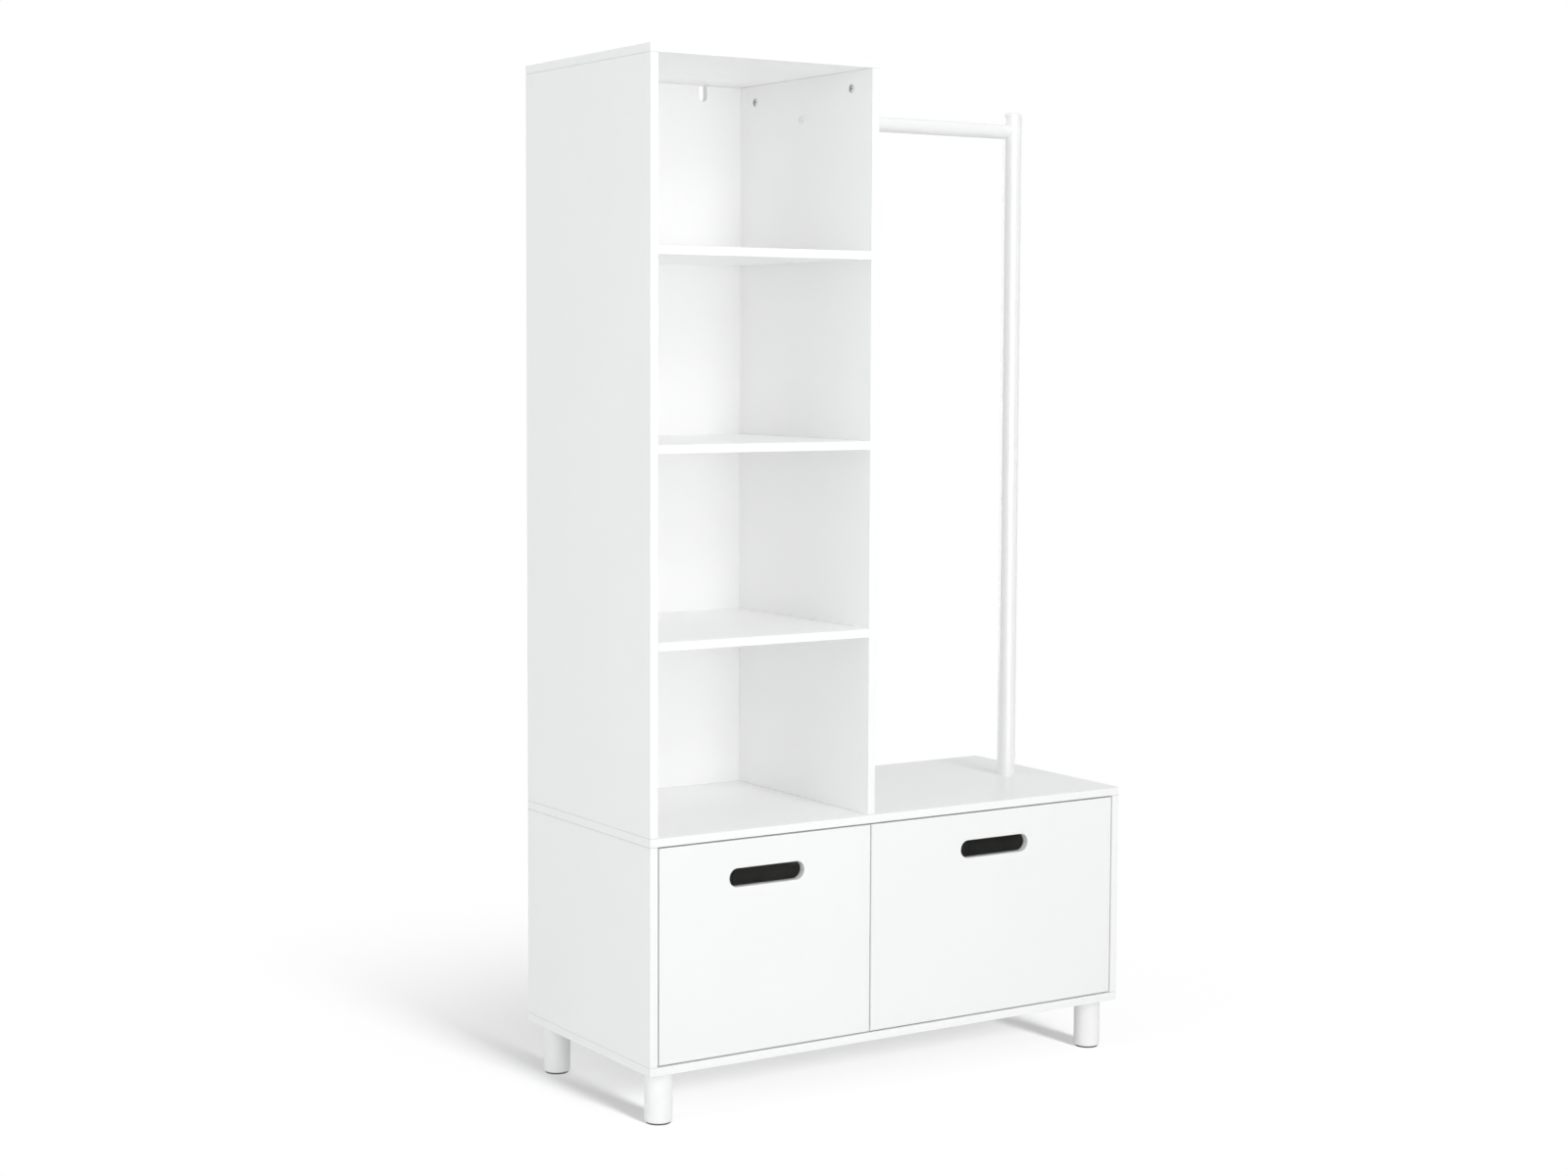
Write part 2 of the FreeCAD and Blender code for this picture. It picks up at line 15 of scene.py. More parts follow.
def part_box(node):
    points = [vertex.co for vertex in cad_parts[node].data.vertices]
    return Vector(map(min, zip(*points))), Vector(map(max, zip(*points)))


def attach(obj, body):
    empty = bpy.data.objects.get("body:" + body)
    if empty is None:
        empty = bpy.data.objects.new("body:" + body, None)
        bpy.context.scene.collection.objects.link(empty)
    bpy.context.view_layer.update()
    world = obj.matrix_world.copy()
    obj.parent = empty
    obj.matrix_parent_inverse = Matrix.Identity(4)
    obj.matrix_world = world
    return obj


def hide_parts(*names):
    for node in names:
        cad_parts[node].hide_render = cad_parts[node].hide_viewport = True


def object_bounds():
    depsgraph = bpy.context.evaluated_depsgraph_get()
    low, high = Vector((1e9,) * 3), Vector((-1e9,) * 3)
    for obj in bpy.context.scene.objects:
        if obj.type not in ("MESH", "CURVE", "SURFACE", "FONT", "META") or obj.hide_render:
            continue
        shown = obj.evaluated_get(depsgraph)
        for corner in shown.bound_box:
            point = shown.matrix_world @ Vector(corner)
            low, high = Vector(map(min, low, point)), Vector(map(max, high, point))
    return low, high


bl_info = {
    "name": "Shelving unit with clothes rail",
    "version": (1, 0, 0),
    "blender": (4, 5, 0),
    "location": "View3D > Sidebar > Shelving unit",
    "description": "Boards, drawers, rail, fittings and studio of a white shelving unit",
    "category": "Object",
}

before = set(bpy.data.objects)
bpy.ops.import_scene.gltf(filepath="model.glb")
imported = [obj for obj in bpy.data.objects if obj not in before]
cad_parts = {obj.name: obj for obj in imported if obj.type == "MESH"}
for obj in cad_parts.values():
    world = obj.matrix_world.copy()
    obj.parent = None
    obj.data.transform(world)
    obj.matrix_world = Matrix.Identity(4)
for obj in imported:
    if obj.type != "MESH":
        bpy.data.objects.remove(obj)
cad_low, cad_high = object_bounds()

SIDES = ("left", "right")
SHELVES = ("shelf_lower", "shelf_middle", "shelf_upper")
LEGS = ("leg_front_left", "leg_front_right", "leg_rear_left", "leg_rear_right")
CARCASS = (
    "bench_bottom", "bench_top", "bench_left_side", "bench_right_side", "bench_divider",
    "tower_top", "tower_left_side", "tower_right_side", *SHELVES,
)
BACKS = ("bench_back", "tower_back")
BOX_PARTS = ("left_side", "right_side", "back", "bottom")
SLIDE_PARTS = ("outer_members", "middle_members", "inner_members", "outer_cages", "inner_cages")
RAIL_PLUGS = ("rail_wall_insert", "rail_joint_insert", "post_foot_insert", "joint_saddle")
RAIL_BOLTS = ("joint_bolt", "post_bolt")
PLATED = ("joining_plates", "cam_bolts", "leg_bolts", "leg_nuts")
DOWELS = ("dowels", "left_drawer_dowels", "right_drawer_dowels")
TUBES = ("rail_tube", "post_tube", "post_end_cap")
LAMPS = {                   # use, place, side and watts of each lamp
    "key": ("softbox high in front", (0.1, -4.2, 3.6), 1.2, 41.0),
    "front": ("wide softbox in front", (-0.9, -5.0, 1.9), 4.0, 55.4),
    "low": ("softbox near the floor in front", (-0.2, -3.8, 0.5), 2.0, 26.1),
    "left": ("wide softbox to the left", (-4.5, -0.5, 1.8), 3.5, 60.8),
    "top": ("wide softbox overhead", (0.0, -0.6, 4.2), 3.0, 29.3),
    "rim": ("softbox behind that lights the tubes alone", (-1.3, 4.2, 1.6), 3.0, 95.0),
    "card": ("tall card that shows in the tubes' gloss alone", (-0.6, -4.6, 1.5), 3.9, 215.0),
}
COOL_LAMPS = ("left", "top")
TUBE_LAMPS = ("rim", "card")
SUNS = {                    # use, height, turn and width in degrees, and strength of each sun
    "sun": ("low sun in front that lights the floor alone", 7, 3, 10, 23.5),
    "haze": ("higher, wider sun in front that lights the floor alone", 23, 1, 12, 6.0),
}

ROUND_STEPS = 64            # sides of a round tube
SMALL_STEPS = 32            # sides of a screw or a cam
EDGE_STEPS = 3              # faces across a rounded edge
BOARD_STEPS = 2             # faces across a board's rounded edge
SLOT_STEPS = 4              # faces across a finger slot's rounded edge
CAP_STEPS = 9               # faces across the cap's rounded edge
SHARP = math.radians(40)    # faces that meet at more than this keep an edge
CORNER = math.radians(60)   # board faces that meet at more than this get a rounded edge
FLAT = math.radians(1)      # board faces that meet at less than this become one
WELD_REACH = 0.00001        # points of a board that are nearer than this become one
STEEP = 0.5                 # a face whose normal's z is within this of 0 stands upright
POCKET_START = 1 / 3        # where a cam's pocket starts, as a share of its hub's radius
TIP_WIDTH = 0.08            # width of a screw's tip, as a share of its shank's
PLAIN_WHITE = 1.0           # strength at which a white room or floor shows as white
SLIDE_SCREWS = (0.09, 0.5, 0.91)    # places of a slide's screws along its length

# Turns of the fittings about their own axes, in degrees
CAM_TURN = -57              # of the first cam
CAM_TURN_STEP = 17          # from one cam to the next
BACK_TURN_STEP = 21         # from one screw in the backs to the next
PLATE_TURN_STEP = 29        # from a plate's lower screw to its upper one
PLATE_TURN_RATE = 800       # of the plates' screws, for each metre across
SLIDE_TURN_RATE = 400       # of the slides' screws, over a slide's length

LEFTWARD = Vector((-1, 0, 0))
RIGHTWARD = Vector((1, 0, 0))
REARWARD = Vector((0, 1, 0))
DOWNWARD = Vector((0, 0, -1))


def length(name, description, default):
    """A property in metres."""
    return bpy.props.FloatProperty(
        name=name, description=description, default=default, min=0.0, precision=4,
        subtype="DISTANCE", unit="LENGTH",
    )


def colour(name, description, default):
    """A colour property."""
    return bpy.props.FloatVectorProperty(
        name=name, description=description, default=default, size=3, min=0.0, max=1.0, subtype="COLOR",
    )


def place(name, description, default):
    """A point in the unit's frame."""
    return bpy.props.FloatVectorProperty(
        name=name, description=description, default=default, size=3, subtype="TRANSLATION", unit="LENGTH",
    )


def angle(name, description, default):
    """An angle in radians."""
    return bpy.props.FloatProperty(
        name=name, description=description, default=default, subtype="ANGLE", unit="ROTATION",
    )


def amount(name, description, default):
    """A plain number."""
    return bpy.props.FloatProperty(name=name, description=description, default=default, precision=3)


class UnitSizes(bpy.types.PropertyGroup):
    """Sizes of the new forms, the rounded edges and the fine lines."""

    edge_round: length("Edge rounding", "Radius of a board's edges", 0.0007)
    # the seam's line is painted shade, standing in for the gap beside a joint of two boards
    seam: length("Seam", "Width of the fine line beside a joint of two boards", 0.0006)
    edge_band: length("Edge band", "Thickness of the band on a board's front edge", 0.0008)
    glue_line: length("Glue line", "Half the width of the line behind a band", 0.00012)
    slot_width: length("Slot width", "Width of a drawer front's finger slot", 0.150)
    slot_height: length("Slot height", "Height of a drawer front's finger slot", 0.032)
    slot_drop: length("Slot drop", "From a front's upper edge to its slot", 0.0485)
    slot_round: length("Slot rounding", "Radius of the slot's edges", 0.0015)
    tube_wall: length("Tube wall", "Wall of the rail and the post", 0.0015)
    cap_round: length("Cap rounding", "Radius of the cap's upper edge", 0.006)
    cap_spigot: length("Cap spigot", "Length of the cap inside the post", 0.010)
    fit: length("Fit", "Play between tubes and what fits on them", 0.0001)
    glide_round: length("Glide rounding", "Radius of a felt glide's edges", 0.0006)
    cam_radius: length("Cam radius", "Radius of a cam lock", 0.0075)
    cam_depth: length("Cam depth", "Depth of a cam lock in its board", 0.0125)
    cam_proud: length("Cam stand", "How far a cam's face stands off its board", 0.0001)
    cam_cross: length("Cam cross", "Length of the screwdriver cross", 0.0066)
    cam_cross_width: length("Cam cross width", "Width of the cross's arms", 0.0017)
    cam_cross_depth: length("Cam cross depth", "Depth of the cross", 0.005)
    cam_lip: length("Cam lip", "Metal between a cam's cross, its pocket and its rim", 0.0009)
    cam_pocket: length("Cam pocket", "Depth of the curved pocket in a cam's face", 0.0095)
    cam_reach: length("Cam reach", "From a cam's middle to its joint", 0.030)
    cam_inset: length("Cam inset", "From a side's front and rear edges to a cam", 0.064)
    screw_radius: length("Screw radius", "Radius of a wood screw's shank", 0.002)
    screw_head_radius: length("Screw head radius", "Radius of a countersunk head", 0.004)
    screw_head: length("Screw head", "Depth of a countersunk head", 0.0025)
    screw_tip: length("Screw tip", "Length of a screw's tip", 0.004)
    screw_cross: length("Screw cross", "Length of a screw's cross recess", 0.0044)
    screw_cross_width: length("Screw cross width", "Width of the recess's arms", 0.0012)
    screw_cross_depth: length("Screw cross depth", "Depth of the recess", 0.0016)
    back_screw: length("Back screw", "Length of the screws through the backs", 0.040)
    plate_screw: length("Plate screw", "Length of the screws in the joining plates", 0.012)
    slide_screw: length("Slide screw", "Length of the screws that hold the slides", 0.013)
    shelf_screw_inset: length("Shelf screw inset", "From a shelf's end to its screw", 0.100)
    divider_screw_inset: length("Divider screw inset", "From the divider's end to its screw", 0.090)
    plate_inset: length("Plate inset", "From a side's inner face to a plate's middle", 0.060)
    plate_screw_inset: length("Plate screw inset", "From a plate's end to its screw", 0.015)
    slide_steel: length("Slide steel", "Thickness of the slides' steel", 0.0012)


class UnitColours(bpy.types.PropertyGroup):
    """Colours of the finishes."""

    board: colour("Board", "White lacquer of the boards", (0.965, 0.965, 0.965))
    front: colour("Front", "White lacquer of the drawer fronts", (0.900, 0.900, 0.899))
    band: colour("Edge band", "Band on the boards' front edges", (0.928, 0.930, 0.929))
    # painted shade: this dark line stands in for the shade in the gap where one board meets another
    seam: colour("Seam", "Fine line where one board meets another", (0.50, 0.50, 0.49))
    band_joint: colour("Band joint", "Glue line behind the band", (0.62, 0.62, 0.60))
    drawer: colour("Drawer box", "White melamine of the drawer boxes", (0.80, 0.80, 0.79))
    leg: colour("Leg", "White paint of the legs", (0.935, 0.935, 0.928))
    tube: colour("Tube", "White powder coat of rail and post", (0.900, 0.900, 0.900))
    nylon: colour("Nylon", "White moulded nylon", (0.880, 0.880, 0.875))
    zinc: colour("Zinc", "Zinc plating", (0.66, 0.67, 0.68))
    zinc_warm: colour("Zinc tint", "Warmer patches of the plating", (0.68, 0.66, 0.60))
    cast_zinc: colour("Cast zinc", "Cam locks", (0.78, 0.78, 0.79))
    beech: colour("Beech", "Light wood of the dowels", (0.72, 0.53, 0.34))
    beech_dark: colour("Beech grain", "Dark grain of the dowels", (0.52, 0.34, 0.19))
    felt: colour("Felt", "Felt of the glides", (0.055, 0.055, 0.057))
    felt_light: colour("Felt fibres", "Lighter fibres of the felt", (0.14, 0.14, 0.145))


def with_lamps(group):
    """Adds the values of every lamp and sun to a group."""
    for name, (use, spot, side, watts) in LAMPS.items():
        label = name.capitalize()
        group.__annotations__.update({
            f"{name}_place": place(f"{label} place", f"Where the {use} hangs", spot),
            f"{name}_size": length(f"{label} size", f"Side of the {use}", side),
            f"{name}_power": amount(f"{label} power", f"Watts of the {use}", watts),
        })
    for name, (use, height, turn, width, strength) in SUNS.items():
        label = name.capitalize()
        group.__annotations__.update({
            f"{name}_height": angle(f"{label} height", f"Height of the {use}", math.radians(height)),
            f"{name}_turn": angle(f"{label} turn", f"Turn to the right of the {use}", math.radians(turn)),
            f"{name}_width": angle(f"{label} width", f"Angle filled by the {use}", math.radians(width)),
            f"{name}_power": amount(f"{label} power", f"Strength of the {use}", strength),
        })
    return group


@with_lamps
class UnitStage(bpy.types.PropertyGroup):
    """Camera, lamps and floor."""

    lens: bpy.props.FloatProperty(
        name="Lens", description="Focal length on a 36 mm sensor", default=60.07, unit="CAMERA",
    )
    rise: amount("Lens shift", "Vertical shift of the picture", -0.03)
    eye: place("Camera", "Place of the camera", (-2.62323, -3.92426, 1.29823))
    yaw: angle("Yaw", "Turn of the camera from the front", 0.5716648)
    pitch: angle("Pitch", "Tilt of the camera above the horizon", -0.0734622)
    roll: angle("Roll", "Turn of the camera about its axis", 0.0042475)
    aim: place("Aim", "Point that the lamps face", (0.0, 0.0, 0.85))
    card_height: length("Card height", "Height of the card", 4.4)
    cool_colour: colour("Cool light", "Colour of the left and top lamps", (0.95, 1.0, 0.991))
    bounces: bpy.props.IntProperty(
        name="Bounces", description="How often light goes from board to board", default=12, min=1,
    )
    ambient: amount("Ambient", "Strength of the room's light", 0.40)
    ambient_colour: colour("Ambient colour", "Colour of the room's light", (0.996, 1.0, 0.999))
    floor_side: length("Floor", "Side of the floor", 60.0)
    floor_bounce: colour("Floor bounce", "Floor as the object's surfaces see it", (0.8, 0.8, 0.8))
    bounce_drop: length("Bounce drop", "How far the bouncing floor lies below the seen one", 0.001)
    floor_white: amount("Floor white", "Share of the floor's white that no shadow takes", 0.32)
    floor_catch: amount("Floor catch", "Share of the floor's white that the lamps give", 0.28)
    fade_start: length("Fade start", "Where the floor begins to turn plain white", 0.38)
    fade_end: length("Fade end", "Where the floor is plain white", 1.9)


class Signal:
    """An output socket that Python operators turn into Math nodes."""

    def __init__(self, builder, node, output):
        self.builder = builder
        self.node = node
        self.socket = node.outputs[output] if len(node.outputs) else None

    def other(self, output):
        """Another output of the same node."""
        return Signal(self.builder, self.node, output)

    def maths(self, operation, first, second):
        return self.builder.node("ShaderNodeMath", {0: first, 1: second}, operation=operation)

    def __add__(self, value):
        return self.maths("ADD", self, value)

    __radd__ = __add__

    def __sub__(self, value):
        return self.maths("SUBTRACT", self, value)

    def __rsub__(self, value):
        return self.maths("SUBTRACT", value, self)

    def __mul__(self, value):
        return self.maths("MULTIPLY", self, value)

    __rmul__ = __mul__

    def __lt__(self, value):
        return self.maths("LESS_THAN", self, value)

    def __gt__(self, value):
        return self.maths("GREATER_THAN", self, value)

    def __or__(self, value):
        return self.maths("MAXIMUM", self, value)

    def __abs__(self):
        return self.maths("ABSOLUTE", self, 0.0)


class Builder:
    """Adds nodes to a material's or the world's node tree."""

    def __init__(self, owner):
        owner.use_nodes = True
        self.tree = owner.node_tree
        self.tree.nodes.clear()

    def node(self, kind, sockets=None, output=0, **settings):
        """Adds a node: its settings first, then its sockets' values or links."""
        made = self.tree.nodes.new(kind)
        for name, value in settings.items():
            setattr(made, name, value)
        for key, value in (sockets or {}).items():
            if isinstance(value, Signal):
                self.tree.links.new(value.socket, made.inputs[key])
            else:
                made.inputs[key].default_value = value
        return Signal(self, made, output)

    def position(self):
        """Place on the object, in metres."""
        return self.node("ShaderNodeTexCoord", output="Object")

    def stretched(self, scale):
        """Place on the object, scaled along each axis."""
        return self.node("ShaderNodeMapping", {"Vector": self.position(), "Scale": scale})

    def noise(self, scale, detail=2.0, roughness=0.5, stretch=None):
        """Noise over the object, scaled along each axis where a stretch is given."""
        spot = self.stretched(stretch) if stretch else self.position()
        sockets = {"Vector": spot, "Scale": scale, "Detail": detail, "Roughness": roughness}
        return self.node("ShaderNodeTexNoise", sockets)

    def mix(self, factor, first, second):
        """A colour between two others."""
        sockets = {"Factor": factor, 6: tint(first), 7: tint(second)}
        return self.node("ShaderNodeMix", sockets, output=2, data_type="RGBA")

    def bump(self, height, strength, distance):
        sockets = {"Height": height, "Strength": strength, "Distance": distance}
        return self.node("ShaderNodeBump", sockets)

    def surface(self, sockets):
        """A Principled shader, joined to the output."""
        self.output(self.node("ShaderNodeBsdfPrincipled", sockets))

    def output(self, shader, kind="ShaderNodeOutputMaterial"):
        self.node(kind, {"Surface": shader})


def tint(value):
    """A colour with its alpha, or a signal as it is."""
    if isinstance(value, Signal):
        return value
    return (*value[:3], 1.0)


def shade(value, share):
    """A colour made lighter or darker."""
    return tuple(min(1.0, part * share) for part in value)


def satin_lacquer(builder, white):
    """Sockets of a satin lacquer with a faint ripple."""
    cloud = builder.noise(scale=4.0, detail=3.0, roughness=0.55)
    ripple = builder.noise(scale=850.0, detail=1.5)
    grit = builder.noise(scale=3200.0, detail=1.0)
    return {
        "Base Color": builder.mix(cloud, shade(white, 0.985), shade(white, 1.012)),
        "Roughness": 0.27 + 0.08 * cloud + 0.04 * grit,
        "Normal": builder.bump(ripple + 0.25 * grit, strength=0.12, distance=0.00006),
        "IOR": 1.48,
    }


def lacquered_board(builder, colours, sizes):
    """Satin lacquer, with a band glued on the front edge and painted shade in the gaps where the boards meet.
    """
    y = builder.node("ShaderNodeSeparateXYZ", {"Vector": builder.position()}, output="Y")
    sockets = satin_lacquer(builder, colours.board)
    band_end = cad_low.y + sizes.edge_band
    banded = builder.mix(y < band_end, sockets["Base Color"], colours.band)
    glue_line = abs(y - band_end) < sizes.glue_line
    glued = builder.mix(glue_line, banded, colours.band_joint)
    z = y.other("Z")
    joints = (
        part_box("bench_bottom")[1].z, *(edge.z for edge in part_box("bench_top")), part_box("tower_top")[0].z,
    )
    # painted shade: a dark line on the upright faces beside each joint of two boards, for the shade in the gap
    gap_shade = abs(z - joints[0]) < sizes.seam
    for height in joints[1:]:
        gap_shade = gap_shade | (abs(z - height) < sizes.seam)
    facing = builder.node("ShaderNodeTexCoord", output="Normal")
    upright = abs(builder.node("ShaderNodeSeparateXYZ", {"Vector": facing}, output="Z")) < STEEP
    sockets["Base Color"] = builder.mix(gap_shade * upright, glued, colours.seam)
    builder.surface(sockets)


def lacquered_back(builder, colours, sizes):
    """Satin lacquer on a board whose edges don't show."""
    builder.surface(satin_lacquer(builder, colours.board))


def lacquered_front(builder, colours, sizes):
    """Satin lacquer sprayed over a whole drawer front."""
    builder.surface(satin_lacquer(builder, colours.front))


def drawer_melamine(builder, colours, sizes):
    """Melamine with a pearl grain, and a band on the upper edges of the box."""
    z = builder.node("ShaderNodeSeparateXYZ", {"Vector": builder.position()}, output="Z")
    _, box_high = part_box("left_drawer_back")
    pearl = builder.noise(scale=1500.0, roughness=0.6, stretch=(1.0, 0.55, 1.0))
    cloud = builder.noise(scale=6.0)
    band_end = box_high.z - sizes.edge_band
    white = builder.mix(cloud, shade(colours.drawer, 0.98), shade(colours.drawer, 1.01))
    banded = builder.mix(z > band_end, white, shade(colours.drawer, 1.06))
    glue_line = abs(z - band_end) < sizes.glue_line
    builder.surface({
        "Base Color": builder.mix(glue_line, banded, colours.band_joint),
        "Roughness": 0.42 + 0.1 * pearl,
        "Normal": builder.bump(pearl, strength=0.25, distance=0.00008),
        "IOR": 1.5,
    })


def painted_leg(builder, colours, sizes):
    """Paint on turned wood: grain along the leg and fine rings round it."""
    grain = builder.noise(scale=420.0, detail=3.0, roughness=0.6, stretch=(1.0, 1.0, 0.06))
    rings = builder.noise(scale=1100.0, detail=1.0, stretch=(0.02, 0.02, 1.0))
    cloud = builder.noise(scale=9.0)
    builder.surface({
        "Base Color": builder.mix(cloud, shade(colours.leg, 0.98), shade(colours.leg, 1.01)),
        "Roughness": 0.33 + 0.1 * grain,
        "Normal": builder.bump(grain + 0.4 * rings, strength=0.2, distance=0.00008),
        "IOR": 1.48,
    })


def powder_coat(builder, colours, sizes):
    """Baked powder coat with an orange-peel skin."""
    peel = builder.noise(scale=620.0, roughness=0.45)
    cloud = builder.noise(scale=7.0)
    builder.surface({
        "Base Color": builder.mix(cloud, shade(colours.tube, 0.985), shade(colours.tube, 1.01)),
        "Roughness": 0.17 + 0.05 * peel,
        "Normal": builder.bump(peel, strength=0.03, distance=0.0001),
        "IOR": 1.5,
    })


def moulded_nylon(builder, colours, sizes):
    """Moulded nylon with a fine spark texture."""
    spark = builder.noise(scale=2600.0, roughness=0.6)
    cloud = builder.noise(scale=40.0)
    builder.surface({
        "Base Color": builder.mix(cloud, shade(colours.nylon, 0.97), shade(colours.nylon, 1.02)),
        "Roughness": 0.36 + 0.12 * spark,
        "Normal": builder.bump(spark, strength=0.2, distance=0.00005),
        "IOR": 1.53,
    })


def zinc_plate(builder, colours, sizes):
    """Plated steel: rolling lines along the depth and warm patches of passivation."""
    rolled = builder.noise(scale=900.0, detail=3.0, roughness=0.6, stretch=(1.0, 0.02, 1.0))
    patches = builder.noise(scale=45.0, detail=3.0, roughness=0.6)
    plate = builder.mix(patches, colours.zinc, colours.zinc_warm)
    builder.surface({
        "Base Color": builder.mix(rolled, shade(colours.zinc, 0.9), plate),
        "Roughness": 0.24 + 0.14 * rolled + 0.08 * patches,
        "Normal": builder.bump(rolled, strength=0.12, distance=0.00004),
        "Metallic": 1.0,
    })


def cast_zinc(builder, colours, sizes):
    """Tumbled die casting of the cam locks."""
    skin = builder.noise(scale=1400.0, detail=3.0, roughness=0.6)
    patches = builder.noise(scale=160.0)
    builder.surface({
        "Base Color": builder.mix(patches, shade(colours.cast_zinc, 0.8), shade(colours.cast_zinc, 1.15)),
        "Roughness": 0.34 + 0.16 * skin,
        "Normal": builder.bump(skin, strength=0.3, distance=0.00006),
        "Metallic": 1.0,
    })


def beech_dowel(builder, colours, sizes):
    """Light wood with short dark flecks."""
    fleck = builder.noise(scale=900.0, detail=3.0, roughness=0.65, stretch=(0.2, 1.0, 1.0))
    grain = builder.noise(scale=260.0, stretch=(0.1, 1.0, 1.0))
    builder.surface({
        "Base Color": builder.mix(fleck * grain, colours.beech, colours.beech_dark),
        "Roughness": 0.55 + 0.15 * fleck,
        "Normal": builder.bump(grain, strength=0.3, distance=0.0001),
    })


def felt_pad(builder, colours, sizes):
    """Pressed felt: short fibres, lighter where they stand up."""
    fibres = builder.noise(scale=2400.0, detail=4.0, roughness=0.7, stretch=(1.0, 0.35, 1.0))
    tufts = builder.noise(scale=500.0)
    builder.surface({
        "Base Color": builder.mix(fibres, colours.felt, colours.felt_light),
        "Roughness": 0.9 + 0.1 * tufts,
        "Normal": builder.bump(fibres + tufts, strength=0.8, distance=0.0003),
        "Sheen Weight": 0.3,
    })


FINISHES = {
    made.__name__: made
    for made in (
        lacquered_board, lacquered_back, lacquered_front, drawer_melamine, painted_leg, powder_coat,
        moulded_nylon, zinc_plate, cast_zinc, beech_dowel, felt_pad,
    )
}


def finish(context, name):
    """The material of a finish, built when it is first asked for."""
    found = bpy.data.materials.get(name)
    if found is None:
        found = bpy.data.materials.new(name)
        FINISHES[name](Builder(found), context.scene.unit_colours, context.scene.unit_sizes)
    return found


def coat(context, node, finish_name):
    """Gives a CAD node its finish."""
    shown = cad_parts[node]
    for slot in shown.material_slots:
        slot.material = finish(context, finish_name)
    return shown


def round_edges(context, shown):
    """Rounds a CAD board's edges with modifiers, over its loose triangles."""
    weld = shown.modifiers.new("join", "WELD")
    weld.merge_threshold = WELD_REACH
    planes = shown.modifiers.new("planes", "DECIMATE")
    planes.decimate_type = "DISSOLVE"
    planes.angle_limit = FLAT
    edges = shown.modifiers.new("edges", "BEVEL")
    edges.width = context.scene.unit_sizes.edge_round
    edges.segments = BOARD_STEPS
    edges.limit_method = "ANGLE"
    edges.angle_limit = CORNER
    edges.use_clamp_overlap = False
    edges.harden_normals = True


def kept_mesh(bm, name):
    """Keeps a finished form as a mesh."""
    mesh = bpy.data.meshes.new(name)
    bm.to_mesh(mesh)
    bm.free()
    return mesh


def add_piece(context, bm, name, body, finish_name, replaced=()):
    """Makes an object of a finished form and hands it to its body."""
    bmesh.ops.recalc_face_normals(bm, faces=bm.faces[:])
    mesh = kept_mesh(bm, name)
    mesh.shade_smooth()
    mesh.set_sharp_from_angle(angle=SHARP)
    mesh.materials.append(finish(context, finish_name))
    made = bpy.data.objects.new(name, mesh)
    context.scene.collection.objects.link(made)
    even = made.modifiers.new("even", "WEIGHTED_NORMAL")
    even.keep_sharp = True
    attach(made, body)
    if replaced:
        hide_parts(*replaced)


def extruded(bm, faces, shift, closing=False):
    """Extrudes faces and moves their copies. The first faces stay where they close the form."""
    grown = bmesh.ops.extrude_face_region(bm, geom=faces)["geom"]
    moved = [part for part in grown if isinstance(part, bmesh.types.BMVert)]
    bmesh.ops.translate(bm, verts=moved, vec=shift)
    if not closing:
        bmesh.ops.delete(bm, geom=faces, context="FACES")


def rounded(bm, edges, radius, steps=EDGE_STEPS):
    """Rounds edges."""
    bmesh.ops.bevel(
        bm, geom=edges, offset=radius, offset_type="OFFSET", affect="EDGES", segments=steps,
        profile=0.5, material=-1, clamp_overlap=True,
    )


def sharp_edges(bm):
    """Edges where two faces meet at an angle."""
    return [edge for edge in bm.edges if edge.is_manifold and edge.calc_face_angle() > SHARP]


def closed_line(bm, points):
    """A closed line of edges through points."""
    spots = [bm.verts.new(spot) for spot in points]
    for first, second in zip(spots, spots[1:] + spots[:1]):
        bm.edges.new((first, second))


def panel_from_outlines(bm, thickness):
    """Fills the outlines drawn so far and gives the panel its thickness towards the rear."""
    bmesh.ops.triangle_fill(bm, edges=bm.edges[:], use_beauty=True, normal=(0.0, -1.0, 0.0))
    extruded(bm, bm.faces[:], (0.0, thickness, 0.0), closing=True)
    bmesh.ops.recalc_face_normals(bm, faces=bm.faces[:])


def slot_outline(bm, middle, width, height):
    """A slot's outline: a circle whose halves are pulled apart."""
    upright = Matrix.Translation(middle) @ Matrix.Rotation(math.pi / 2, 4, "X")
    ring = bmesh.ops.create_circle(bm, segments=ROUND_STEPS, radius=height / 2, matrix=upright)["verts"]
    pull = (width - height) / 2
    slack = height / 100  # the circle's highest and lowest points stay in the middle
    for way in (-1, 1):
        half = [vert for vert in ring if way * (vert.co.x - middle.x) > slack]
        bmesh.ops.translate(bm, verts=half, vec=(way * pull, 0.0, 0.0))


def drawer_front(context, side):
    """A front with a rounded finger slot through it."""
    sizes = context.scene.unit_sizes
    node = f"{side}_drawer_front"
    low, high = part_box(node)
    bm = bmesh.new()
    closed_line(bm, [
        (low.x, low.y, low.z), (high.x, low.y, low.z), (high.x, low.y, high.z), (low.x, low.y, high.z),
    ])
    middle = Vector(((low.x + high.x) / 2, low.y, high.z - sizes.slot_drop - sizes.slot_height / 2))
    slot_outline(bm, middle, sizes.slot_width, sizes.slot_height)
    panel_from_outlines(bm, high.y - low.y)
    near_slot = [edge for edge in sharp_edges(bm) if abs(edge.verts[0].co.z - middle.z) < sizes.slot_height]
    rounded(bm, near_slot, sizes.slot_round, SLOT_STEPS)
    outline = [edge for edge in sharp_edges(bm) if abs(edge.verts[0].co.z - middle.z) > sizes.slot_height]
    rounded(bm, outline, sizes.edge_round)
    add_piece(context, bm, f"{side}_front", f"{side}_drawer", "lacquered_front", [node])


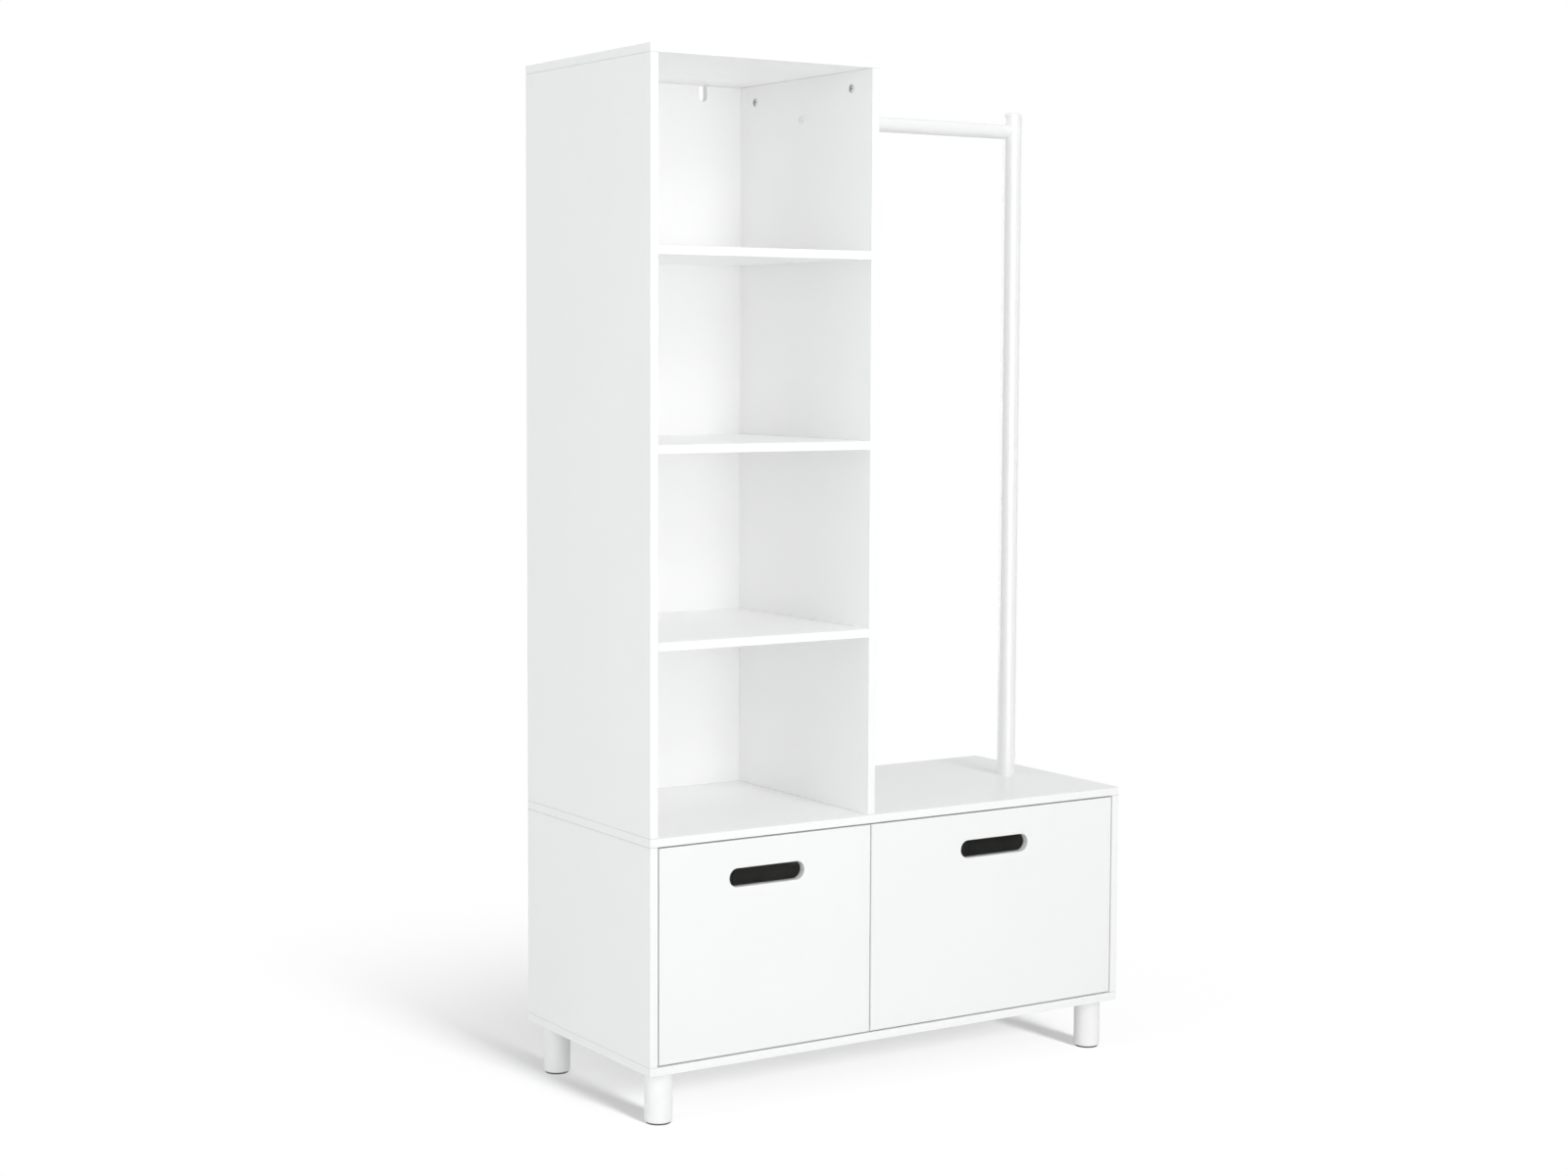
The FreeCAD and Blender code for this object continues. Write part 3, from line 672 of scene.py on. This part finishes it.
def hollow_tube(bm, start, end, radius):
    """An open tube between two points."""
    along = end - start
    turn = along.to_track_quat("Z", "Y").to_matrix().to_4x4()
    bmesh.ops.create_cone(
        bm, segments=ROUND_STEPS, radius1=radius, radius2=radius, depth=along.length,
        matrix=Matrix.Translation((start + end) / 2) @ turn,
    )


def thicken(bm, wall):
    """Gives a tube's skin its wall, inwards."""
    bmesh.ops.recalc_face_normals(bm, faces=bm.faces[:])
    bmesh.ops.solidify(bm, geom=bm.faces[:], thickness=wall)


def clothes_rail(context):
    """The rail, its right end coped to the round of the post."""
    sizes = context.scene.unit_sizes
    low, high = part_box("clothes_rail")
    post_low, post_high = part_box("rail_post")
    middle = (low + high) / 2
    post_x = (post_low.x + post_high.x) / 2
    post_radius = (post_high.x - post_low.x) / 2 + sizes.fit
    bm = bmesh.new()
    hollow_tube(
        bm, Vector((low.x, middle.y, middle.z)), Vector((post_x, middle.y, middle.z)),
        (high.z - low.z) / 2,
    )
    for vert in bm.verts:
        if vert.co.x > middle.x:
            vert.co.x = post_x - math.sqrt(post_radius ** 2 - (vert.co.y - middle.y) ** 2)
    thicken(bm, sizes.tube_wall)
    add_piece(context, bm, "rail_tube", "cabinet", "powder_coat", ["clothes_rail"])


def rail_post(context):
    """The post that stands on the bench."""
    sizes = context.scene.unit_sizes
    low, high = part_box("rail_post")
    middle = (low + high) / 2
    bm = bmesh.new()
    hollow_tube(
        bm, Vector((middle.x, middle.y, low.z)), Vector((middle.x, middle.y, high.z)),
        (high.x - low.x) / 2,
    )
    thicken(bm, sizes.tube_wall)
    add_piece(context, bm, "post_tube", "cabinet", "powder_coat", ["rail_post"])


def post_cap(context):
    """The domed cap on the post, with its spigot."""
    sizes = context.scene.unit_sizes
    low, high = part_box("post_cap")
    _, tube_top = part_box("rail_post")
    middle = (low + high) / 2
    radius = (high.x - low.x) / 2
    rise = high.z - tube_top.z
    bm = bmesh.new()
    bmesh.ops.create_cone(
        bm, cap_ends=True, segments=ROUND_STEPS, radius1=radius, radius2=radius, depth=rise,
        matrix=Matrix.Translation((middle.x, middle.y, tube_top.z + rise / 2)),
    )
    underside = [face for face in bm.faces if face.normal.z < -STEEP]
    bmesh.ops.inset_region(bm, faces=underside, thickness=sizes.tube_wall + sizes.fit, depth=0.0)
    extruded(bm, underside, (0.0, 0.0, -sizes.cap_spigot))
    rim = [edge for edge in bm.edges if all(vert.co.z > high.z - sizes.fit for vert in edge.verts)]
    rounded(bm, rim, sizes.cap_round, CAP_STEPS)
    seam = [
        edge for edge in sharp_edges(bm)
        if all(abs(vert.co.z - tube_top.z) < sizes.fit for vert in edge.verts)
        and (edge.verts[0].co - middle).to_2d().length > radius - sizes.fit
    ]
    rounded(bm, seam, sizes.edge_round)
    add_piece(context, bm, "post_end_cap", "cabinet", "moulded_nylon", ["post_cap"])


def felt_glides(context):
    """A felt disc under every leg."""
    sizes = context.scene.unit_sizes
    low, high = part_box("leg_glides")
    leg_low, leg_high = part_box("leg_front_left")
    leg_middle = (leg_low + leg_high) / 2
    radius = leg_middle.x - low.x
    bm = bmesh.new()
    for x in (leg_middle.x, -leg_middle.x):
        for y in (leg_middle.y, -leg_middle.y):
            bmesh.ops.create_cone(
                bm, cap_ends=True, segments=ROUND_STEPS, radius1=radius, radius2=radius,
                depth=high.z - low.z, matrix=Matrix.Translation((x, y, (low.z + high.z) / 2)),
            )
    rounded(bm, sharp_edges(bm), sizes.glide_round)
    add_piece(context, bm, "felt_glides", "cabinet", "felt_pad", ["leg_glides"])


def cross_recess(bm, arm, width, depth, rim):
    """A disc facing +Z with a driver's cross sunk into it. Gives back the edges of its rim."""
    bmesh.ops.create_grid(bm, x_segments=3, y_segments=3, size=arm / 2)
    for vert in bm.verts:
        for axis in (0, 1):
            if abs(vert.co[axis]) < arm / 4:  # the grid's inner lines become the arms' sides
                vert.co[axis] = math.copysign(width / 2, vert.co[axis])
    corners = [
        face for face in bm.faces
        if min(abs(face.calc_center_median().x), abs(face.calc_center_median().y)) > width / 2
    ]
    bmesh.ops.delete(bm, geom=corners, context="FACES")
    cross = bm.faces[:]
    outline = [edge for edge in bm.edges if edge.is_boundary]
    ring = bmesh.ops.create_circle(bm, segments=SMALL_STEPS, radius=rim)["verts"]
    rim_edges = list({edge for vert in ring for edge in vert.link_edges})
    bmesh.ops.triangle_fill(bm, edges=outline + rim_edges, use_beauty=True, normal=(0.0, 0.0, 1.0))
    extruded(bm, cross, (0.0, 0.0, -depth))
    return rim_edges


def sunk(bm, edges, drop, scale):
    """Draws a rim's edges down and changes its width. Gives back the new edges."""
    grown = bmesh.ops.extrude_edge_only(bm, edges=edges)["geom"]
    verts = [part for part in grown if isinstance(part, bmesh.types.BMVert)]
    bmesh.ops.translate(bm, verts=verts, vec=(0.0, 0.0, -drop))
    bmesh.ops.scale(bm, verts=verts, vec=(scale, scale, 1.0))
    return [part for part in grown if isinstance(part, bmesh.types.BMEdge)]


def cam_mesh(sizes):
    """One cam lock, its face at the origin and its body below, with a curved pocket at one side."""
    bm = bmesh.new()
    chamfer = sizes.cam_proud * 2  # reaches below the board's face
    hub = sizes.cam_cross / 2 + sizes.cam_lip
    flat = sizes.cam_radius - chamfer
    rim = cross_recess(bm, sizes.cam_cross, sizes.cam_cross_width, sizes.cam_cross_depth, hub)
    before = set(bm.faces)
    rim = sunk(bm, rim, 0.0, (flat - sizes.cam_lip) / hub)
    pocket = [face for face in set(bm.faces) - before if face.calc_center_median().x < -hub * POCKET_START]
    rim = sunk(bm, rim, 0.0, flat / (flat - sizes.cam_lip))
    extruded(bm, pocket, (0.0, 0.0, -sizes.cam_pocket))
    rim = sunk(bm, rim, chamfer, sizes.cam_radius / flat)
    rim = sunk(bm, rim, sizes.cam_depth - chamfer, 1.0)
    bmesh.ops.edgeloop_fill(bm, edges=rim)
    return kept_mesh(bm, "cam")


def screw_mesh(sizes, reach):
    """One countersunk wood screw, its head at the origin and its tip below."""
    bm = bmesh.new()
    rim = cross_recess(
        bm, sizes.screw_cross, sizes.screw_cross_width, sizes.screw_cross_depth, sizes.screw_head_radius,
    )
    rim = sunk(bm, rim, sizes.screw_head, sizes.screw_radius / sizes.screw_head_radius)
    rim = sunk(bm, rim, reach - sizes.screw_head - sizes.screw_tip, 1.0)
    rim = sunk(bm, rim, sizes.screw_tip, TIP_WIDTH)
    bmesh.ops.edgeloop_fill(bm, edges=rim)
    return kept_mesh(bm, "screw")


def copies(mesh, seats):
    """Copies of a fitting at seats of a point, an outward direction and a turn."""
    bm = bmesh.new()
    for spot, outward, turn in seats:
        first = len(bm.verts)
        bm.from_mesh(mesh)
        bm.verts.ensure_lookup_table()
        seat = Matrix.Translation(spot) @ outward.to_track_quat("Z", "Y").to_matrix().to_4x4()
        bmesh.ops.transform(bm, matrix=seat @ Matrix.Rotation(turn, 4, "Z"), verts=bm.verts[first:])
    bpy.data.meshes.remove(mesh)
    return bm


def add_screws(context, name, body, reach, seats, replaced=()):
    """Makes one piece of the wood screws on some seats."""
    screws = copies(screw_mesh(context.scene.unit_sizes, reach), seats)
    add_piece(context, screws, name, body, "zinc_plate", replaced)


def cam_seats(sizes):
    """Where the cams sit: in the sides under the tops, over the bench's bottom, and under the shelves."""
    bench_bottom, bench_top, tower_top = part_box("bench_bottom"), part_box("bench_top"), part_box("tower_top")
    tower_heights = (tower_top[0].z - sizes.cam_reach,)
    bench_heights = (bench_top[0].z - sizes.cam_reach, bench_bottom[1].z + sizes.cam_reach)
    faces = (
        (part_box("tower_left_side")[1].x, RIGHTWARD, tower_heights),
        (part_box("tower_right_side")[0].x, LEFTWARD, tower_heights),
        (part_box("bench_left_side")[1].x, RIGHTWARD, bench_heights),
        (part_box("bench_right_side")[0].x, LEFTWARD, bench_heights),
    )
    spots = []
    for x, outward, heights in faces:
        for y in (cad_low.y + sizes.cam_inset, cad_high.y - sizes.cam_inset):
            spots += [(Vector((x, y, z)), outward) for z in heights]
    for shelf in SHELVES:
        low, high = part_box(shelf)
        for x in (low.x + sizes.cam_reach, high.x - sizes.cam_reach):
            spots.append((Vector((x, (low.y + high.y) / 2, low.z)), DOWNWARD))
    return [
        (spot + outward * sizes.cam_proud, outward, math.radians(CAM_TURN + CAM_TURN_STEP * number))
        for number, (spot, outward) in enumerate(spots)
    ]


def back_screw_seats(sizes):
    """Screw heads on the backs: behind the divider and behind the shelves."""
    divider_low, divider_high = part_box("bench_divider")
    middle_x = (divider_low.x + divider_high.x) / 2
    spots = [
        (middle_x, divider_low.z + sizes.divider_screw_inset),
        (middle_x, divider_high.z - sizes.divider_screw_inset),
    ]
    for shelf in SHELVES:
        low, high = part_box(shelf)
        for x in (low.x + sizes.shelf_screw_inset, high.x - sizes.shelf_screw_inset):
            spots.append((x, (low.z + high.z) / 2))
    return [
        (Vector((x, cad_high.y, z)), REARWARD, math.radians(BACK_TURN_STEP * number))
        for number, (x, z) in enumerate(spots)
    ]


def plate_screw_seats(sizes):
    """Screw heads in the joining plates."""
    low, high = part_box("joining_plates")
    back_low, back_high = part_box("tower_back")
    heights = (low.z + sizes.plate_screw_inset, high.z - sizes.plate_screw_inset)
    return [
        (Vector((x, cad_high.y, z)), REARWARD, math.radians(PLATE_TURN_RATE * x + PLATE_TURN_STEP * number))
        for x in (back_low.x + sizes.plate_inset, back_high.x - sizes.plate_inset)
        for number, z in enumerate(heights)
    ]


def slide_screw_seats(sizes, side, member):
    """Screw heads in the webs of a drawer's two slides, which lie on the cabinet or on the box."""
    low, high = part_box(f"{side}_slide_{member}_members")
    if member == "outer":
        webs = ((low.x + sizes.slide_steel, RIGHTWARD), (high.x - sizes.slide_steel, LEFTWARD))
    else:
        box_left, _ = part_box(f"{side}_drawer_left_side")
        _, box_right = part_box(f"{side}_drawer_right_side")
        webs = ((box_left.x - sizes.slide_steel, LEFTWARD), (box_right.x + sizes.slide_steel, RIGHTWARD))
    z = (low.z + high.z) / 2
    return [
        (Vector((x, low.y + share * (high.y - low.y), z)), outward, math.radians(SLIDE_TURN_RATE * share))
        for x, outward in webs
        for share in SLIDE_SCREWS
    ]


class SHELVING_OT_boards(bpy.types.Operator):
    """Round the carcass boards' edges and lacquer them"""

    bl_idname = "shelving.boards"
    bl_label = "Carcass boards"

    def execute(self, context):
        for node in CARCASS:
            round_edges(context, coat(context, node, "lacquered_board"))
        for node in BACKS:
            round_edges(context, coat(context, node, "lacquered_back"))
        return {"FINISHED"}


class SHELVING_OT_drawer_fronts(bpy.types.Operator):
    """Model the two fronts with their finger slots"""

    bl_idname = "shelving.drawer_fronts"
    bl_label = "Drawer fronts"

    def execute(self, context):
        for side in SIDES:
            drawer_front(context, side)
        return {"FINISHED"}


class SHELVING_OT_drawer_boxes(bpy.types.Operator):
    """Finish the drawers' sides, backs and bottoms"""

    bl_idname = "shelving.drawer_boxes"
    bl_label = "Drawer boxes"

    def execute(self, context):
        for side in SIDES:
            for part in BOX_PARTS:
                round_edges(context, coat(context, f"{side}_drawer_{part}", "drawer_melamine"))
        return {"FINISHED"}


class SHELVING_OT_legs(bpy.types.Operator):
    """Paint the legs and set felt glides under them"""

    bl_idname = "shelving.legs"
    bl_label = "Legs and glides"

    def execute(self, context):
        for node in LEGS:
            coat(context, node, "painted_leg")
        felt_glides(context)
        return {"FINISHED"}


class SHELVING_OT_rail(bpy.types.Operator):
    """Model the clothes rail, its post and the post's cap, and finish their plugs and bolts"""

    bl_idname = "shelving.rail"
    bl_label = "Clothes rail and post"

    def execute(self, context):
        clothes_rail(context)
        rail_post(context)
        post_cap(context)
        for node in RAIL_PLUGS:
            coat(context, node, "moulded_nylon")
        for node in RAIL_BOLTS:
            coat(context, node, "zinc_plate")
        coat(context, "rail_bolt", "powder_coat")
        return {"FINISHED"}


class SHELVING_OT_fittings(bpy.types.Operator):
    """Model the cam locks and screws, and finish the plates, bolts and dowels"""

    bl_idname = "shelving.fittings"
    bl_label = "Joint fittings"

    def execute(self, context):
        sizes = context.scene.unit_sizes
        cams = copies(cam_mesh(sizes), cam_seats(sizes))
        add_piece(context, cams, "cams", "cabinet", "cast_zinc", ["cam_locks"])
        seats = back_screw_seats(sizes)
        add_screws(context, "rear_screws", "cabinet", sizes.back_screw, seats, ["back_screws"])
        seats = plate_screw_seats(sizes)
        add_screws(context, "plate_heads", "cabinet", sizes.plate_screw, seats, ["plate_screws"])
        for node in PLATED:
            coat(context, node, "zinc_plate")
        for node in DOWELS:
            coat(context, node, "beech_dowel")
        return {"FINISHED"}


class SHELVING_OT_slides(bpy.types.Operator):
    """Finish the telescopic slides and add the screws that hold them"""

    bl_idname = "shelving.slides"
    bl_label = "Drawer slides"

    def execute(self, context):
        sizes = context.scene.unit_sizes
        for side in SIDES:
            for part in SLIDE_PARTS:
                coat(context, f"{side}_slide_{part}", "zinc_plate")
            for member, body in (("outer", "cabinet"), ("inner", f"{side}_drawer")):
                seats = slide_screw_seats(sizes, side, member)
                add_screws(context, f"{side}_{member}_slide_screws", body, sizes.slide_screw, seats)
        return {"FINISHED"}


class SHELVING_OT_stage(bpy.types.Operator):
    """Set up the floor, the room's light, the lamps and the camera"""

    bl_idname = "shelving.stage"
    bl_label = "Studio"

    def execute(self, context):
        stage = context.scene.unit_stage
        context.scene.view_settings.view_transform = "Standard"
        context.scene.cycles.diffuse_bounces = stage.bounces
        floor = lay_floor(context, stage)
        for name in SUNS:
            cast_shadow(context, stage, name, floor)
        lay_bounce(context, stage)
        light_room(context, stage)
        for name in LAMPS:
            hang_lamp(context, stage, name)
        set_camera(context, stage)
        return {"FINISHED"}


def seen_rays(builder):
    """One for rays that show the background: from the camera, or by gloss or glass."""
    paths = builder.node("ShaderNodeLightPath", output="Is Camera Ray")
    return paths | paths.other("Is Glossy Ray") | paths.other("Is Transmission Ray")


def flat_floor(context, stage, name, drop=0.0):
    """A square floor, and the builder of its paper."""
    bm = bmesh.new()
    sunk_by = Matrix.Translation((0.0, 0.0, -drop))
    bmesh.ops.create_grid(bm, x_segments=1, y_segments=1, size=stage.floor_side / 2, matrix=sunk_by)
    mesh = kept_mesh(bm, name)
    floor = bpy.data.objects.new(name, mesh)
    context.scene.collection.objects.link(floor)
    paper = bpy.data.materials.new(f"{name}_paper")
    mesh.materials.append(paper)
    return floor, Builder(paper)


def lay_floor(context, stage):
    """The floor that is seen. It keeps the shadow near the unit and turns plain white further off."""
    floor, builder = flat_floor(context, stage, "floor")
    distance = builder.node(
        "ShaderNodeVectorMath", {0: builder.position()}, output="Value", operation="LENGTH",
    )
    close = 1 - builder.node(
        "ShaderNodeMapRange",
        {"Value": distance, "From Min": stage.fade_start, "From Max": stage.fade_end},
    )
    caught = builder.node("ShaderNodeBsdfDiffuse", {"Color": tint((stage.floor_catch,) * 3)})
    glow = builder.node("ShaderNodeEmission", {"Strength": stage.floor_white})
    near = builder.node("ShaderNodeAddShader", {0: caught, 1: glow})
    plain = builder.node("ShaderNodeEmission", {"Strength": PLAIN_WHITE})
    builder.output(builder.node("ShaderNodeMixShader", {0: close * close * close, 1: plain, 2: near}))
    floor.visible_diffuse = False
    floor.visible_shadow = False
    return floor


def lay_bounce(context, stage):
    """The floor that throws the lamps' light back on the unit and isn't seen itself."""
    floor, builder = flat_floor(context, stage, "bounce", stage.bounce_drop)
    builder.output(builder.node("ShaderNodeBsdfDiffuse", {"Color": tint(stage.floor_bounce)}))
    floor.visible_camera = False
    floor.visible_glossy = False
    floor.visible_transmission = False


def light_only(held, shown):
    """Lets a lamp light some objects alone."""
    lit = bpy.data.collections.new(f"lit by {held.name}")
    for each in shown:
        lit.objects.link(each)
    held.light_linking.receiver_collection = lit


def cast_shadow(context, stage, name, floor):
    """A sun in front that lights the floor alone, so that the unit's shadow shows there."""
    sun = bpy.data.lights.new(name, "SUN")
    sun.energy = getattr(stage, f"{name}_power")
    sun.angle = getattr(stage, f"{name}_width")
    held = bpy.data.objects.new(name, sun)
    context.scene.collection.objects.link(held)
    tilt = Matrix.Rotation(math.pi / 2 - getattr(stage, f"{name}_height"), 4, "X")
    held.matrix_world = Matrix.Rotation(getattr(stage, f"{name}_turn"), 4, "Z") @ tilt
    light_only(held, [floor])


def light_room(context, stage):
    """A white room: plain white where it is seen, softer where it lights."""
    world = bpy.data.worlds.new("room")
    context.scene.world = world
    builder = Builder(world)
    ambient = builder.node(
        "ShaderNodeBackground", {"Color": tint(stage.ambient_colour), "Strength": stage.ambient},
    )
    white = builder.node(
        "ShaderNodeBackground", {"Color": tint((1.0, 1.0, 1.0)), "Strength": PLAIN_WHITE},
    )
    mixed = builder.node("ShaderNodeMixShader", {0: seen_rays(builder), 1: ambient, 2: white})
    builder.output(mixed, "ShaderNodeOutputWorld")


def hang_lamp(context, stage, name):
    """A softbox that faces the unit. The card alone is taller than wide, and only shows in gloss."""
    lamp = bpy.data.lights.new(name, "AREA")
    lamp.size = getattr(stage, f"{name}_size")
    lamp.energy = getattr(stage, f"{name}_power")
    if name in COOL_LAMPS:
        lamp.color = stage.cool_colour
    held = bpy.data.objects.new(name, lamp)
    context.scene.collection.objects.link(held)
    spot = Vector(getattr(stage, f"{name}_place"))
    turn = (Vector(stage.aim) - spot).to_track_quat("-Z", "Y")
    held.matrix_world = Matrix.Translation(spot) @ turn.to_matrix().to_4x4()
    held.visible_camera = False
    if name in TUBE_LAMPS:
        light_only(held, [context.scene.objects[tube] for tube in TUBES])
    if name == "card":
        lamp.shape = "RECTANGLE"
        lamp.size_y = stage.card_height
        held.visible_diffuse = False


def set_camera(context, stage):
    """The camera at its place, turned by yaw, pitch and roll."""
    camera = bpy.data.cameras.new("camera")
    camera.lens = stage.lens
    camera.shift_y = stage.rise
    held = bpy.data.objects.new("camera", camera)
    context.scene.collection.objects.link(held)
    turn = Matrix.Rotation(-stage.yaw, 4, "Z") @ Matrix.Rotation(math.pi / 2 + stage.pitch, 4, "X")
    held.matrix_world = Matrix.Translation(stage.eye) @ turn @ Matrix.Rotation(stage.roll, 4, "Z")
    context.scene.camera = held


class SHELVING_PT_panel(bpy.types.Panel):
    """Lists the steps and the values that they read"""

    bl_idname = "SHELVING_PT_panel"
    bl_label = "Shelving unit"
    bl_space_type = "VIEW_3D"
    bl_region_type = "UI"
    bl_category = "Shelving unit"

    def draw(self, context):
        for step in STEPS:
            self.layout.operator(step.bl_idname)
        for group in (context.scene.unit_sizes, context.scene.unit_colours, context.scene.unit_stage):
            column = self.layout.column()
            for name in group.__annotations__:
                column.prop(group, name)


GROUPS = {"unit_sizes": UnitSizes, "unit_colours": UnitColours, "unit_stage": UnitStage}
STEPS = (
    SHELVING_OT_boards, SHELVING_OT_drawer_fronts, SHELVING_OT_drawer_boxes,
    SHELVING_OT_legs, SHELVING_OT_rail, SHELVING_OT_fittings, SHELVING_OT_slides, SHELVING_OT_stage,
)


def register():
    """Registers the value groups, the steps and the panel."""
    for name, group in GROUPS.items():
        bpy.utils.register_class(group)
        setattr(bpy.types.Scene, name, bpy.props.PointerProperty(type=group))
    for step in STEPS:
        bpy.utils.register_class(step)
    bpy.utils.register_class(SHELVING_PT_panel)


def unregister():
    """Takes back what register added."""
    bpy.utils.unregister_class(SHELVING_PT_panel)
    for step in reversed(STEPS):
        bpy.utils.unregister_class(step)
    for name, group in reversed(GROUPS.items()):
        delattr(bpy.types.Scene, name)
        bpy.utils.unregister_class(group)


def main():
    """Runs every step in order."""
    register()
    bpy.ops.shelving.boards()
    bpy.ops.shelving.drawer_fronts()
    bpy.ops.shelving.drawer_boxes()
    bpy.ops.shelving.legs()
    bpy.ops.shelving.rail()
    bpy.ops.shelving.fittings()
    bpy.ops.shelving.slides()
    bpy.ops.shelving.stage()


if __name__ == "__main__":
    main()
